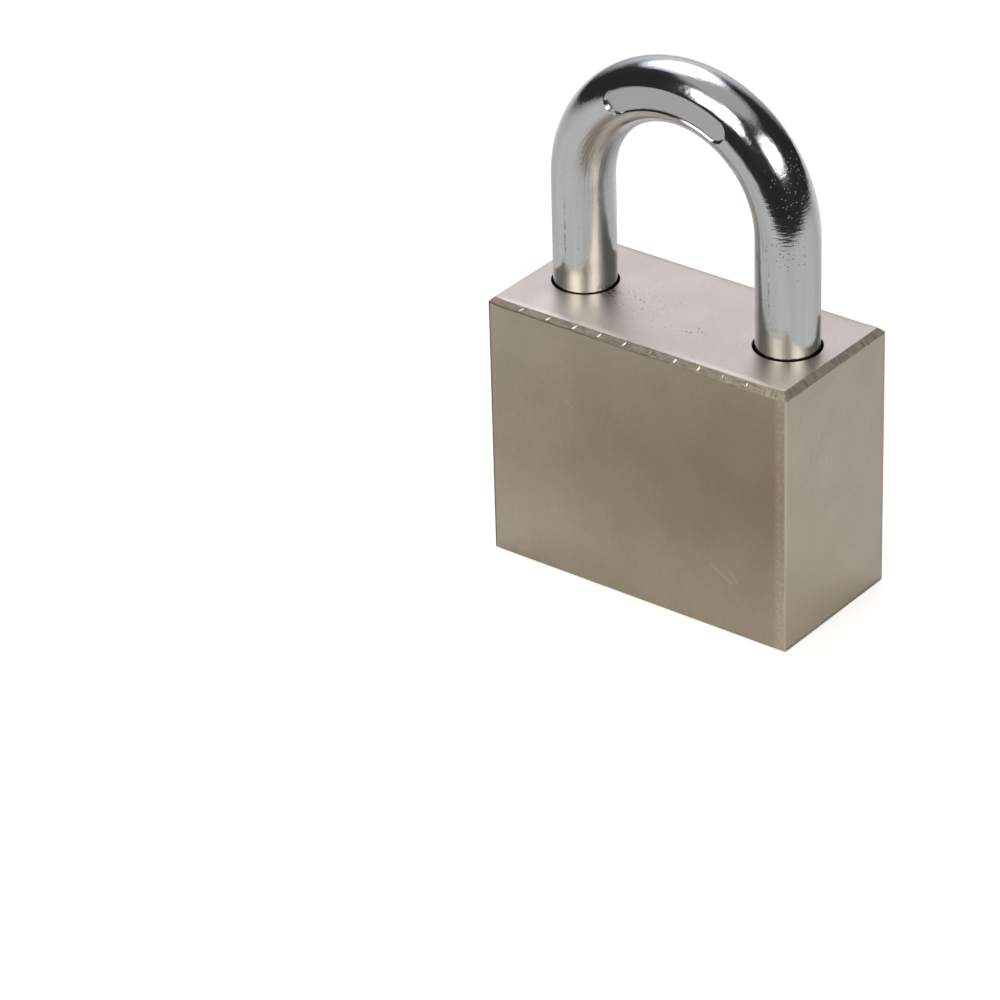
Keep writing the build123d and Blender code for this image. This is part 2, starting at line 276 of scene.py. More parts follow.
class Graph:
    """One node tree, written as expressions."""

    def __init__(self, tree):
        self.tree = tree
        self.tree.nodes.clear()

    def node(self, kind, settings=None, inputs=None, output=0):
        """Adds a node: settings first, then the values or links of its sockets."""
        added = self.tree.nodes.new(kind)
        for name, value in (settings or {}).items():
            setattr(added, name, value)
        for key, value in (inputs or {}).items():
            if isinstance(value, Wire):
                self.tree.links.new(value.socket, added.inputs[key])
            else:
                added.inputs[key].default_value = value
        return Wire(self, added.outputs[output]) if added.outputs else added

    def blend(self, factor, first, second):
        """A colour between two, by a factor."""
        settings = {"data_type": "RGBA", "clamp_factor": True}
        inputs = {0: factor, 6: colour(first), 7: colour(second)}
        return self.node("ShaderNodeMix", settings, inputs, output=2)

    def tones(self, factor, base, dark, light):
        """A colour between a darker and a lighter shade of one colour, by a factor."""
        return self.blend(factor, shade(base, dark), shade(base, light))

    def parts(self, vector):
        """The three parts of a vector."""
        split = self.node("ShaderNodeSeparateXYZ", None, {0: vector})
        return split, split.other(1), split.other(2)

    def millimetres(self, place):
        """A place that is given in metres, in millimetres."""
        return self.node("ShaderNodeVectorMath", {"operation": "SCALE"}, {0: place, "Scale": 1 / MM})

    def places(self):
        """The surface's own place in millimetres, as a vector and its three parts."""
        place = self.millimetres(self.node("ShaderNodeTexCoord", output="Object"))
        return place, self.parts(place)

    def noise(self, place, scale, detail=3.0, roughness=0.5):
        """Cloudy noise from 0 to 1; scale is in waves to the millimetre."""
        inputs = {"Vector": place, "Scale": scale, "Detail": detail, "Roughness": roughness}
        return self.node("ShaderNodeTexNoise", None, inputs)

    def streaks(self, place, waves, detail=2.0, roughness=0.5):
        """The same noise drawn out: each axis has its own number of waves to the millimetre."""
        drawn = self.node("ShaderNodeVectorMath", {"operation": "MULTIPLY"}, {0: place, 1: waves})
        return self.noise(drawn, 1.0, detail, roughness)

    def specks(self, place, scale, size, crowding):
        """Scattered round specks: size is in cells, and crowding from 0 to 1 says how many there are."""
        near = self.node("ShaderNodeTexVoronoi", {"feature": "F1"}, {"Vector": place, "Scale": scale})
        chance = self.node("ShaderNodeSeparateColor", None, {0: near.other("Color")})
        return near.step(size, size * 0.5) * (crowding - chance).step(0.0, 0.04)

    def patch(self, first, second, centre, radius):
        """1 round a centre, fading to 0 at a radius, over two coordinates."""
        away = ((first - centre[0]) ** 2 + (second - centre[1]) ** 2) ** 0.5
        return away.step(radius, radius * 0.3)

    def clusters(self, place, first, second, scale, clusters):
        """Specks gathered in clusters, each with a centre, a radius and a crowding, over two coordinates."""
        crowding = 0.0
        for centre, radius, crowd in clusters:
            crowding = self.patch(first, second, centre, radius) * crowd + crowding
        return self.specks(place, scale, PIT_SIZE, crowding)

    def scratch(self, first, second, start, end, width):
        """1 on a straight scratch between two points, 0 beside it."""
        run = (end[0] - start[0], end[1] - start[1])
        along = (first - start[0]) * run[0] + (second - start[1]) * run[1]
        along = (along / (run[0] ** 2 + run[1] ** 2)).held()
        aside = (first - start[0] - along * run[0]) ** 2 + (second - start[1] - along * run[1]) ** 2
        return (aside ** 0.5).step(width, width * 0.3)

    def bump(self, height, distance, normal=None):
        """A normal from a height; distance is how deep a height of 1 is, in metres."""
        inputs = {"Height": height, "Distance": distance, "Strength": 1.0}
        if normal is not None:
            inputs["Normal"] = normal
        return self.node("ShaderNodeBump", None, inputs)

    def plate(self, base, roughness, normal):
        """One metal reflection."""
        inputs = {"Base Color": colour(base), "Metallic": 1.0, "Roughness": roughness}
        if normal is not None:
            inputs["Normal"] = normal
        return self.node("ShaderNodeBsdfPrincipled", None, inputs)

    def metal(self, base, roughness, normal=None, haze=None):
        """The finish's metal, linked to the output; haze is a softer reflection's share and roughness."""
        shader = self.plate(base, roughness, normal)
        if haze is not None:
            share, softness = haze
            soft = self.plate(base, softness, normal)
            shader = self.node("ShaderNodeMixShader", None, {0: share, 1: shader, 2: soft})
        self.node("ShaderNodeOutputMaterial", None, {"Surface": shader})


def colour(value):
    """A colour with its alpha, or a wire as it is."""
    if isinstance(value, Wire):
        return value
    return (*tuple(value)[:3], 1.0)


def shade(value, factor):
    """A colour made lighter or darker."""
    return tuple(min(1.0, part * factor) for part in tuple(value)[:3])


def finish(name):
    """A new material and its graph."""
    material = bpy.data.materials.new(name)
    material.use_nodes = True
    return material, Graph(material.node_tree)


BLOCK_FINISH = "block_nickel"   # the plug and the pin take this material too
ROD_MAP = "rod_map"             # the rod's own map: along it and round it, in metres
PIT_SIZE = 0.3                  # size of a pit in cells of its pattern

# Stretches on the case in millimetres: where something starts and where it is full
TOP_FACE = (39.85, 39.93)
FRONT_FACE = (-11.85, -11.93)
RIGHT_FACE = (24.85, 24.93)
WEAR_AND_HIGHLIGHT_STRIP = (22.8, 23.8)       # worn strip of the front by its right corner, with a painted highlight where the rolled edge catches the light
WEAR_AND_HIGHLIGHT_CORNER = (36.60, 36.78)    # the corner itself, worn and with a painted highlight, as the place across less the place in depth
TOP_EDGE_HIGHLIGHT = (-10.25, -10.6)   # painted highlight along the top's front edge
HIGHLIGHT_START = (0.0, 16.0)        # and how it sets in towards the right
CORNER_DARK_X = (-24.50, -24.72)   # dark line on the front's left corner
CORNER_DARK_Y = (-11.3, -11.45)
BACK_DIRT = (11.0, 11.9)        # dirt on the right face, towards the back
FOOT_DARK = (0.8, 0.1)          # and darker along its foot
LONG_CHAMFER = (11.0, 11.1)     # distance of a long chamfer from the middle
LIGHTER_END = (5.0, 22.0)       # the long chamfers get lighter along this stretch
HATCHED_END = (20.2, 21.2)      # and end in hatching

# Spots on the top face in millimetres: centre and radius, and for pits how crowded they are
STAIN = ((-12.0, -1.3), 1.9)    # rust at the heel hole's rim
TOE_LEG_SHADE = ((19.0, -8.0), 5.0)       # painted shade before the toe leg
HEEL_LEG_HIGHLIGHT = ((-15.2, -7.3), 5.6)    # painted highlight before the heel leg
FINE_PITS = (
    ((-11.6, -1.0), 2.6, 0.60),
    ((-6.4, -0.9), 6.5, 0.42),
    ((10.9, -4.0), 3.0, 0.30),
    ((12.4, -2.4), 1.1, 0.80),
    ((2.0, -4.0), 11.0, 0.06),
)
BOLD_PITS = (
    ((4.6, -3.9), 1.8, 1.00),
    ((-10.5, -1.0), 3.0, 0.25),
    ((-6.0, -1.5), 5.5, 0.12),
)
SIDE_PITS = (                   # the same on the right face, across and up
    ((9.2, 29.0), 1.6, 0.30),
    ((3.0, 14.0), 9.0, 0.015),
)
FRONT_SCRATCHES = (             # start and end on the front face in millimetres, width
    ((12.5, 9.8), (16.3, 7.9), 0.17),
    ((15.7, 9.9), (16.9, 8.3), 0.13),
    ((-11.8, 28.0), (-10.6, 26.9), 0.12),
)
SIDE_SCRATCHES = (              # the same on the right face
    ((-4.0, 31.0), (-5.9, 25.4), 0.22),
)

# Places on the shackle in millimetres: centre and radius seen from the front,
# or where something starts and is full
HEEL_BEND = ((-17.0, 58.0), 14.0)
TOE_BEND = ((18.5, 61.0), 9.0)
SPARKLE_SPOT = ((20.8, 64.5), 7.0)
PINHOLE_SPOT = ((19.0, 56.0), 3.5)
SPARKLE_SIDE = (-4.2, -3.0)     # the sparkles leave out the rod's foremost line
ROD_FOOT = (49.0, 44.0)         # the feet are smoother and blistered below these heights
SEAM_FOOT = (45.0, 46.5)        # a broken seam runs up each leg from here
SEAM_HEAD = (56.0, 51.0)        # to here
SEAM_SIDE = (0.36, 0.22)        # and is this wide to each side
INNER_SIDE = (16.2, 14.6)       # distance from the bow's middle where the streaks inside the bends start
INNER_FOOT = (52.0, 59.0)       # and the heights where they start
TOE_SHIFT = 0.9                 # they reach this much further out on the toe's side
TOE_SIDE = (0.0, 6.0)
HEEL_SIDE = (6.0, -6.0)


def satin_nickel(settings):
    """Satin nickel plate: soft clouding, fine grain, pits on the top, scratches and worn upright edges; with
    painted shade on the front and before the toe leg, a painted cool reflection on the top, and painted
    highlights at the front right corner, along the top's front edge and before the heel leg.
    """
    material, graph = finish(BLOCK_FINISH)
    place, (x, y, z) = graph.places()
    clouds = graph.noise(place, 0.11, detail=2.0)
    grain = graph.noise(place, 3.5, detail=4.0, roughness=0.65)
    mottle = graph.noise(place, 1.6, detail=4.0, roughness=0.7)
    uneven = graph.noise(place, 2.2, detail=3.0, roughness=0.7).step(0.46, 0.58)
    brush = graph.streaks(place, (0.3, 6.0, 1.0))
    top = z.step(*TOP_FACE)
    front = y.step(*FRONT_FACE)
    right = x.step(*RIGHT_FACE)
    pits = graph.clusters(place, x, y, 2.7, FINE_PITS) * 0.7 + graph.clusters(place, x, y, 1.7, BOLD_PITS)
    pits = (pits * top + graph.clusters(place, y, z, 2.0, SIDE_PITS) * right * 0.6).held()
    marks = 0.0
    for scratch in FRONT_SCRATCHES:
        marks = graph.scratch(x, z, *scratch) * front + marks
    for scratch in SIDE_SCRATCHES:
        marks = graph.scratch(y, z, *scratch) * right * 0.5 + marks
    # painted shade: the front is darker, standing in for the shaded floor it mirrors
    tone = 0.5 - 0.36 * front + 0.275 * clouds.step(0.3, 0.7) + 0.225 * mottle.step(0.3, 0.7)
    # the top takes the cooler colour, a painted reflection
    dull = graph.blend(top, settings.tarnish_and_shade, shade(settings.top_cool_reflection, 0.81))
    clean = graph.blend(top, shade(settings.nickel, 1.05), shade(settings.top_cool_reflection, 1.05))
    base = graph.blend(tone, dull, clean)
    base = graph.blend(pits * 0.85, base, settings.bore)
    stain = graph.patch(x, y, *STAIN) * uneven * top
    base = graph.blend(stain * 0.9, base, settings.rust)
    darkening = x.step(*CORNER_DARK_X) * y.step(*CORNER_DARK_Y) * 0.8
    darkening = darkening + (y.step(*BACK_DIRT) * uneven * 0.35 + z.step(*FOOT_DARK) * 0.4) * right
    base = graph.blend(darkening.held(), base, settings.bore)
    # painted shade on the top before the toe leg
    base = graph.blend(graph.patch(x, y, *TOE_LEG_SHADE) * top * 0.35, base, settings.tarnish_and_shade)
    # lighter plate: wear by the front's right corner, and painted highlights on that corner, before the heel
    # leg and along the top's front edge
    wear_and_highlights = x.step(*WEAR_AND_HIGHLIGHT_STRIP) * front * (0.4 + 0.35 * uneven) + (x - y).step(*WEAR_AND_HIGHLIGHT_CORNER)
    wear_and_highlights = wear_and_highlights + graph.patch(x, y, *HEEL_LEG_HIGHLIGHT) * top * 0.85
    wear_and_highlights = wear_and_highlights + y.step(*TOP_EDGE_HIGHLIGHT) * x.step(*HIGHLIGHT_START) * top * 0.5
    base = graph.blend((wear_and_highlights + marks * 0.5).held(), base, shade(settings.nickel, 1.30))
    roughness = 0.25 + 0.05 * clouds + 0.05 * grain
    normal = graph.bump(grain + brush * top * 1.5 - marks, 0.004 * MM)
    graph.metal(base, roughness, normal, haze=(0.42 + 0.4 * top, 0.5))
    return material


def milled_nickel(settings):
    """The chamfer as the cutter left it, under the same plate: lines, ribs, a hatched end and smears."""
    material, graph = finish("milled_nickel")
    place, (x, y, _) = graph.places()
    long_side = abs(y).step(*LONG_CHAMFER)
    last = long_side * x.step(*HATCHED_END)
    lines = graph.streaks(place, (0.5, 7.0, 7.0))
    ribs = graph.streaks(place, (0.5, 1.9, 0.5), detail=3.0, roughness=0.6)
    hatch = graph.streaks(place, (3.2, 0.8, 0.8))
    marks = lines * (long_side - last) + hatch * last + ribs * (1 - long_side)
    smears = graph.noise(place, 1.3, detail=3.0)
    base = graph.tones(smears.step(0.3, 0.7), settings.milled, 0.90, 1.07)
    base = graph.blend(long_side * x.step(*LIGHTER_END) * 0.6, base, shade(settings.milled, 1.25))
    base = graph.blend(marks.step(0.47, 0.66) * 0.6, base, shade(settings.milled, 0.5))
    normal = graph.bump(marks, 0.03 * MM)
    graph.metal(base, 0.32 + 0.14 * smears, normal, haze=(0.7, 0.85))
    return material


def grained_metal(name, base, waves, tones, roughness, depth, detail=3.0, harshness=0.5):
    """A metal whose shade, roughness and height follow one grain; roughness is its least and its span."""
    material, graph = finish(name)
    place, _ = graph.places()
    grain = graph.streaks(place, waves, detail, harshness)
    low, more = roughness
    graph.metal(graph.tones(grain, base, *tones), low + more * grain, graph.bump(grain, depth))
    return material


def fresh_cut_and_glint(settings):
    """The bright facet of a nick; on the chamfer's front right mitre, a painted highlight."""
    return grained_metal("fresh_cut_and_glint", settings.fresh_and_glint, (3.0, 3.0, 3.0), (0.93, 1.05), (0.26, 0.1), 0.006 * MM)


def drilled_steel(settings):
    """Dark oiled steel inside the holes, with the drill's rings."""
    waves = (0.3, 0.3, 4.0)
    return grained_metal("drilled_steel", settings.bore, waves, (0.7, 1.4), (0.45, 0.15), 0.02 * MM,
                         detail=2.0)


def stamped_plate(settings):
    """The recess's floor: plate over a stamped, slightly matt face."""
    waves = (2.4, 2.4, 2.4)
    return grained_metal("stamped_plate", settings.stamped, waves, (0.90, 1.08), (0.18, 0.10), 0.012 * MM,
                         harshness=0.6)


def bright_plate(settings):
    """Bright plate on the bent rod: drawn lines, rippled and streaked bends, blistered feet, pinholes."""
    material, graph = finish("bright_plate")
    place, (x, y, z) = graph.places()
    flat = graph.millimetres(graph.node("ShaderNodeUVMap", {"uv_map": ROD_MAP}))
    peel = graph.noise(place, 0.9, detail=2.0, roughness=0.55)
    fine = graph.noise(place, 3.2, detail=3.0, roughness=0.6)
    waves = graph.noise(place, 0.2, detail=1.0)
    drawn = graph.streaks(flat, (0.25, 3.2, 0.0), detail=3.0, roughness=0.6)
    ripple = graph.streaks(flat, (3.4, 0.6, 0.0))
    rounds = graph.streaks(flat, (3.4, 0.10, 0.0))
    bands = graph.streaks(flat, (0.02, 0.42, 0.0))
    heel_bend = graph.patch(x, z, *HEEL_BEND)
    bends = (heel_bend * 0.2 + graph.patch(x, z, *TOE_BEND)).held()
    foot = z.step(*ROD_FOOT)
    crowding = 0.55 * graph.patch(x, z, *SPARKLE_SPOT) * y.step(*SPARKLE_SIDE) + 0.02
    sparkles = graph.specks(place, 2.9, 0.24, crowding)
    pinholes = graph.specks(place, 2.0, 0.26, 0.6 * graph.patch(x, z, *PINHOLE_SPOT) + 0.03)
    broken = graph.noise(place, 1.4, detail=4.0, roughness=0.65).step(0.42, 0.58)
    frayed = graph.noise(place, 4.0, detail=2.0)
    aside = abs(abs(x) - LEG_X / MM) + 0.35 * frayed
    seam = aside.step(*SEAM_SIDE) * z.step(*SEAM_HEAD) * z.step(*SEAM_FOOT) * broken
    above = (z - BOW_Z / MM + abs(z - BOW_Z / MM)) * 0.5
    reach = (x ** 2 + above ** 2) ** 0.5 - TOE_SHIFT * x.step(*TOE_SIDE)
    inner = reach.step(*INNER_SIDE) * z.step(*INNER_FOOT)
    streaks = graph.streaks(flat, (0.06, 3.6, 0.0)).step(0.52, 0.64) * inner
    tone = waves * 0.2 + rounds.step(0.3, 0.7) * x.step(*HEEL_SIDE) * 0.25 + bands.step(0.32, 0.68) * 0.6
    base = graph.tones(tone.held(), settings.chrome, 0.90, 1.10)
    dark = (pinholes * 0.6 + seam * 0.7 + streaks * 0.5).held()
    base = graph.blend(dark, base, shade(settings.chrome, 0.3))
    roughness = 0.07 + 0.06 * fine + 0.04 * waves - 0.06 * foot
    blisters = graph.noise(place, 1.7, detail=3.0, roughness=0.6) * foot
    wide = graph.bump(waves, 0.05 * MM)
    lines = graph.bump(drawn * (1 + 1.8 * heel_bend) + ripple * bends * 1.5, 0.016 * MM, wide)
    middle = graph.bump(peel, 0.02 * MM, lines)
    close = graph.bump(fine + blisters * 4.0 - (pinholes + sparkles * 2) * 2, 0.008 * MM, middle)
    graph.metal(base, roughness, close)
    return material


def turned_metal(name, base, roughness, ring_depth):
    """A turned or rolled metal: fine rings along Z, soft clouding and a little grain."""
    material, graph = finish(name)
    place, _ = graph.places()
    rings = graph.streaks(place, (0.4, 0.4, 6.0))
    clouds = graph.noise(place, 0.35, detail=2.0)
    grain = graph.noise(place, 5.0, detail=3.0)
    tone = graph.tones(clouds, base, 0.86, 1.08)
    normal = graph.bump(rings * 0.7 + grain * 0.3, ring_depth)
    graph.metal(tone, roughness + 0.1 * grain + 0.05 * clouds, normal)
    return material


def mesh_object(name, bm, materials):
    """A new object from a bmesh, with its materials in order."""
    mesh = bpy.data.meshes.new(name)
    bm.to_mesh(mesh)
    bm.free()
    made = bpy.data.objects.new(name, mesh)
    bpy.context.scene.collection.objects.link(made)
    for material in materials:
        mesh.materials.append(material)
    return made


def loft(bm, rings, closed_ends=True):
    """Faces between rings of equal length, each ring a closed loop of points."""
    loops = [[bm.verts.new(point) for point in ring] for ring in rings]
    faces = []
    count = len(loops[0])
    for lower, upper in zip(loops, loops[1:]):
        strip = []
        for i in range(count):
            j = (i + 1) % count
            strip.append(bm.faces.new((lower[i], lower[j], upper[j], upper[i])))
        faces.append(strip)
    if closed_ends:
        bm.faces.new(list(reversed(loops[0])))
        bm.faces.new(loops[-1])
    return faces


def lathe_cutter(name, profile, matrix, slot, materials, segments=96):
    """A turned cutter: radius and height pairs round the local Z axis, then put in place."""
    bm = bmesh.new()
    rings = []
    for radius, height in profile:
        ring = []
        for i in range(segments):
            angle = 2 * math.pi * i / segments
            ring.append(matrix @ Vector((radius * math.cos(angle), radius * math.sin(angle), height)))
        rings.append(ring)
    loft(bm, rings)
    bmesh.ops.recalc_face_normals(bm, faces=bm.faces)
    for face in bm.faces:
        face.material_index = slot
    return mesh_object(name, bm, materials)


def cut_away(made, cutters):
    """Takes the cutters out of a piece, one after the other, and deletes them."""
    for cutter in cutters:
        modifier = made.modifiers.new("cut", "BOOLEAN")
        modifier.operation = "DIFFERENCE"
        modifier.solver = "EXACT"
        modifier.object = cutter
        evaluated = made.evaluated_get(bpy.context.evaluated_depsgraph_get())
        result = bpy.data.meshes.new_from_object(evaluated)
        made.modifiers.remove(modifier)
        made.data = result
        bpy.data.objects.remove(cutter)


def smooth_by_angle(made, degrees):
    """Smooth shading with sharp edges where faces meet at more than an angle."""
    bm = bmesh.new()
    bm.from_mesh(made.data)
    limit = math.radians(degrees)
    for face in bm.faces:
        face.smooth = True
    for edge in bm.edges:
        edge.smooth = len(edge.link_faces) == 2 and edge.calc_face_angle(0.0) < limit
    bm.to_mesh(made.data)
    bm.free()


CASE_STEP = 0.1 * MM         # distance between points along the block's outline
CORNER_POINTS = 8
SIDE_ROWS = (0.25, 0.5, 0.75)    # shares of the height at which the sides have a ring of points
CHAMFER_ROWS = 8
ROLL_ROWS = 6
CASE_SMOOTH = 22             # degrees between two faces above which their edge stays sharp
_, MILLED, DRILLED, FRESH_AND_GLINT = range(4)    # the block's material slots, after the satin plate

EDGE_BREAK = 0.12 * MM       # sharp edges taken off the bottom
HOLE_BREAK = 0.02 * MM       # and round the holes
TOE_BREAK = 0.10 * MM        # more at the toe's hole, which the toe enters
ROLL_WIDTH = 1.2 * MM        # stretch over which a side falls away towards its edge
TOP_ROLL_WIDTH = 1.1 * MM    # and the top face
ROLL_FADE = 2.5 * MM         # the roll grows to its full depth over this stretch of a long side
SIDE_ROLL = 0.15             # share of the top's roll along the short sides and at the corners
MITRE_ROUND = 0.12 * MM      # least radius of the chamfer's corners

NICK_WIDTH = 0.34 * MM
NICK_SLANT = 0.75 * MM       # how far a nick leans along the chamfer, from its foot to its head
NICK_START = 4.9 * MM        # first nick, from the chamfer's left end
NICK_STRAY = 0.15 * MM       # how far a nick strays from its place
NICK_CLOSING = 0.035 * MM    # the cutter slowed down, so the nicks come closer together
NICK_STRENGTHS = (0.8, 1.0, 1.0, 0.95, 0.95, 0.5, 1.0, 1.0, 0.6, 1.0)
NICK_MARGIN = 0.13           # share of the chamfer that stays whole above and below the first nick
NICK_SHRINK = 0.012          # and how much more of it stays whole at each nick after that
NICK_RAGGED = 0.016 * MM     # a nick's sides stray by this much, times its number
NICK_EASE = 0.15             # share over which a nick reaches its depth

CHATTER = 0.02 * MM          # cutter marks on the long chamfers
CHATTER_WAVES = 2.2          # and how many waves they have to the millimetre
RIB_STRETCH = 3.6 * MM       # close ribs over the last stretch of the long chamfers
RIB_PITCH = 0.4 * MM
RIB_DEPTH = 0.02 * MM
SIDE_CHATTER = 0.025 * MM    # cutter marks on the short chamfers
SIDE_CHATTER_WAVES = 1.1
SIDE_RIB_PITCH = 0.55 * MM
SIDE_RIB_DEPTH = 0.014 * MM
MARK_FADE = 0.6 * MM         # the cutter's marks die out this close to a corner
EDGE_WANDER = 0.07 * MM      # how far the chamfer's lower edge wanders up and down
WANDER_WAVES = 0.8
FLECK_STRETCH = 7.0 * MM     # bright flecks at the foot of the front chamfer's last stretch
FLECK_ROWS = 2
FLECK_WAVES = 1.7
FLECK_FROM = 0.3             # noise above which a face is a fleck
FOOT_DROP = math.sqrt(2)     # the eased edge reaches this many times as far down the side

SIDE_SEEDS = {"front": 1, "right": 7, "back": 13, "left": 19}
SIDE_CUTS = {                # extra depth of the chamfer at the start and the end of each side
    "front": (-0.05 * MM, 0.20 * MM),
    "right": (0.20 * MM, 0.05 * MM),
    "back": (0.05 * MM, -0.05 * MM),
    "left": (-0.05 * MM, -0.05 * MM),
}
FOOT_EASES = {               # how far the chamfer's lower edge is eased at the start and the end of each side
    "front": (0.09 * MM, 0.015 * MM),
    "right": (0.015 * MM, 0.015 * MM),
    "back": (0.015 * MM, 0.09 * MM),
    "left": (0.09 * MM, 0.09 * MM),
}


class OutlinePoint(NamedTuple):
    """A point of the block's outline: its side and place along it; a corner point has its corner's centre."""
    side: str
    along: float
    length: float
    centre: Vector
    outward: Vector
    corner: bool


def eased(share):
    """A share held between 0 and 1, with a soft start and end."""
    share = min(1.0, max(0.0, share))
    return share * share * (3 - 2 * share)


def rolled(distance, width):
    """Share of the edge roll at a distance from an edge: 1 at the edge, 0 where the face is flat."""
    return max(0.0, 1 - distance / width) ** 2


def block_outline(half_x, half_y, radius, roll):
    """Points round the block, with rolled sides and round corners, anticlockwise from the front left."""
    half_x -= roll
    half_y -= roll
    inner_x = half_x - radius
    inner_y = half_y - radius
    sides = (
        ("front", Vector((-inner_x, -half_y, 0)), Vector((inner_x, -half_y, 0)), -90),
        ("right", Vector((half_x, -inner_y, 0)), Vector((half_x, inner_y, 0)), 0),
        ("back", Vector((inner_x, half_y, 0)), Vector((-inner_x, half_y, 0)), 90),
        ("left", Vector((-half_x, inner_y, 0)), Vector((-half_x, -inner_y, 0)), 180),
    )
    points = []
    for side, start, end, facing in sides:
        normal = Vector((math.cos(math.radians(facing)), math.sin(math.radians(facing)), 0))
        length = (end - start).length
        count = round(length / CASE_STEP)
        for i in range(count + 1):
            along = length * i / count
            bulge = roll * (1 - rolled(min(along, length - along), ROLL_WIDTH))
            spot = start.lerp(end, i / count) + normal * bulge
            points.append(OutlinePoint(side, along, length, spot, normal, False))
        hub = end - normal * radius
        for i in range(1, CORNER_POINTS):
            angle = math.radians(facing + 90 * i / CORNER_POINTS)
            outward = Vector((math.cos(angle), math.sin(angle), 0))
            points.append(OutlinePoint(side, length, length, hub, outward, True))
    return points


def ring_at(points, insets, heights, radius):
    """The outline moved in by each point's inset, at its height; the corners' radius shrinks with it."""
    ring = []
    for point, inset, height in zip(points, insets, heights):
        corner = max(radius - inset, MITRE_ROUND)
        shorter = corner + inset - radius
        if point.corner:
            pull = Vector((math.copysign(1, point.centre.x), math.copysign(1, point.centre.y), 0))
            spot = point.centre - pull * shorter + point.outward * corner
        else:
            onward = Vector((-point.outward.y, point.outward.x, 0))
            from_middle = point.along / point.length * 2 - 1
            spot = point.centre - point.outward * inset - onward * from_middle * shorter
        ring.append(spot + Vector((0, 0, height)))
    return ring


def level_ring(points, inset, height, radius):
    """The outline moved in by one inset, at one height."""
    return ring_at(points, [inset] * len(points), [height] * len(points), radius)


def end_distance(point):
    """Distance from a point of a side to the nearer corner."""
    return 0.0 if point.corner else min(point.along, point.length - point.along)


def tapered(point, sizes):
    """A size that changes evenly from the start to the end of each side."""
    first, last = sizes[point.side]
    return first + (last - first) * point.along / point.length


def cut_depth(point):
    """How much deeper than its nominal size the chamfer was cut: the block sat a little askew."""
    return tapered(point, SIDE_CUTS)


def top_roll(point, settings):
    """How far the top face falls away at its edge: most along the middle of the long sides."""
    if point.side in ("right", "left"):
        return settings.top_roll * SIDE_ROLL
    return settings.top_roll * (SIDE_ROLL + (1 - SIDE_ROLL) * eased(end_distance(point) / ROLL_FADE))


def nick_depth(point, share, settings):
    """Depth of the cutter's nicks: each is a slanted facet that deepens to the right and ends in a step."""
    if point.corner or point.side not in ("front", "back"):
        return 0.0
    for index, strength in enumerate(NICK_STRENGTHS):
        seed = Vector((index * 3.7, 5.0, SIDE_SEEDS[point.side] + 0.5))
        place = NICK_START + NICK_SLANT * share + index * (settings.nick_spacing - NICK_CLOSING * index)
        place += NICK_STRAY * noise.noise(seed)
        place += NICK_RAGGED * index * noise.noise(seed + Vector((0, share * 9, 0)))
        offset = point.along - place
        if abs(offset) < NICK_WIDTH / 2:
            whole = NICK_MARGIN + NICK_SHRINK * index
            window = min(1.0, max(0.0, min(share, 1 - share) - whole) / NICK_EASE)
            return settings.nick_depth * strength * window * (0.5 + offset / NICK_WIDTH)
    return 0.0


def chatter_depth(point, share):
    """Depth of the cutter's chatter: wavy on the short chamfers, with ribs at the long ones' ends."""
    fade = min(1.0, end_distance(point) / MARK_FADE)
    spot = Vector((point.along / MM, share * 3, SIDE_SEEDS[point.side]))
    if point.side in ("right", "left"):
        ribs = 0.5 + 0.5 * math.sin(2 * math.pi * point.along / SIDE_RIB_PITCH)
        waves = 0.5 + 0.5 * noise.noise(spot * SIDE_CHATTER_WAVES)
        return fade * (SIDE_CHATTER * waves + SIDE_RIB_DEPTH * ribs)
    depth = CHATTER * (0.5 + 0.5 * noise.noise(spot * CHATTER_WAVES))
    if point.length - point.along < RIB_STRETCH:
        depth += RIB_DEPTH * (0.5 + 0.5 * math.sin(2 * math.pi * point.along / RIB_PITCH))
    return fade * depth


def flecked(point, row):
    """Whether the face that starts at a point is bright: all of the front right mitre, a painted highlight,
    and some flecks at the foot near it.
    """
    # the mitre after the front side is a painted highlight
    if point.corner:
        return point.side == "front"
    near = point.side == "front" and point.length - point.along < FLECK_STRETCH and row < FLECK_ROWS
    return near and noise.noise(Vector((point.along / MM * FLECK_WAVES, row * 2.0, 4.0))) > FLECK_FROM


def foot_wander(point):
    """How far the chamfer's lower edge strays up or down."""
    spot = Vector((point.centre.x, point.centre.y, 0)) / MM
    return EDGE_WANDER * noise.noise(spot * WANDER_WAVES) * min(1.0, end_distance(point) / MARK_FADE)


def chamfer_rings(points, rolls, eases, settings):
    """The chamfer's rings from its foot to its head, and which faces above each ring are bright."""
    rings = []
    nicks = []
    for row in range(CHAMFER_ROWS + 1):
        share = row / CHAMFER_ROWS
        insets = []
        heights = []
        nicked = []
        for point, roll, ease in zip(points, rolls, eases):
            nick = nick_depth(point, share, settings)
            size = settings.chamfer + cut_depth(point) + nick + chatter_depth(point, share)
            inset = max(ease, size * share)
            insets.append(inset)
            heights.append(CASE_HIGH.z - roll - size + inset + foot_wander(point) * (1 - share))
            nicked.append(nick > 0 or flecked(point, row))
        rings.append(ring_at(points, insets, heights, settings.edge_round))
        nicks.append(nicked)
    return rings, nicks


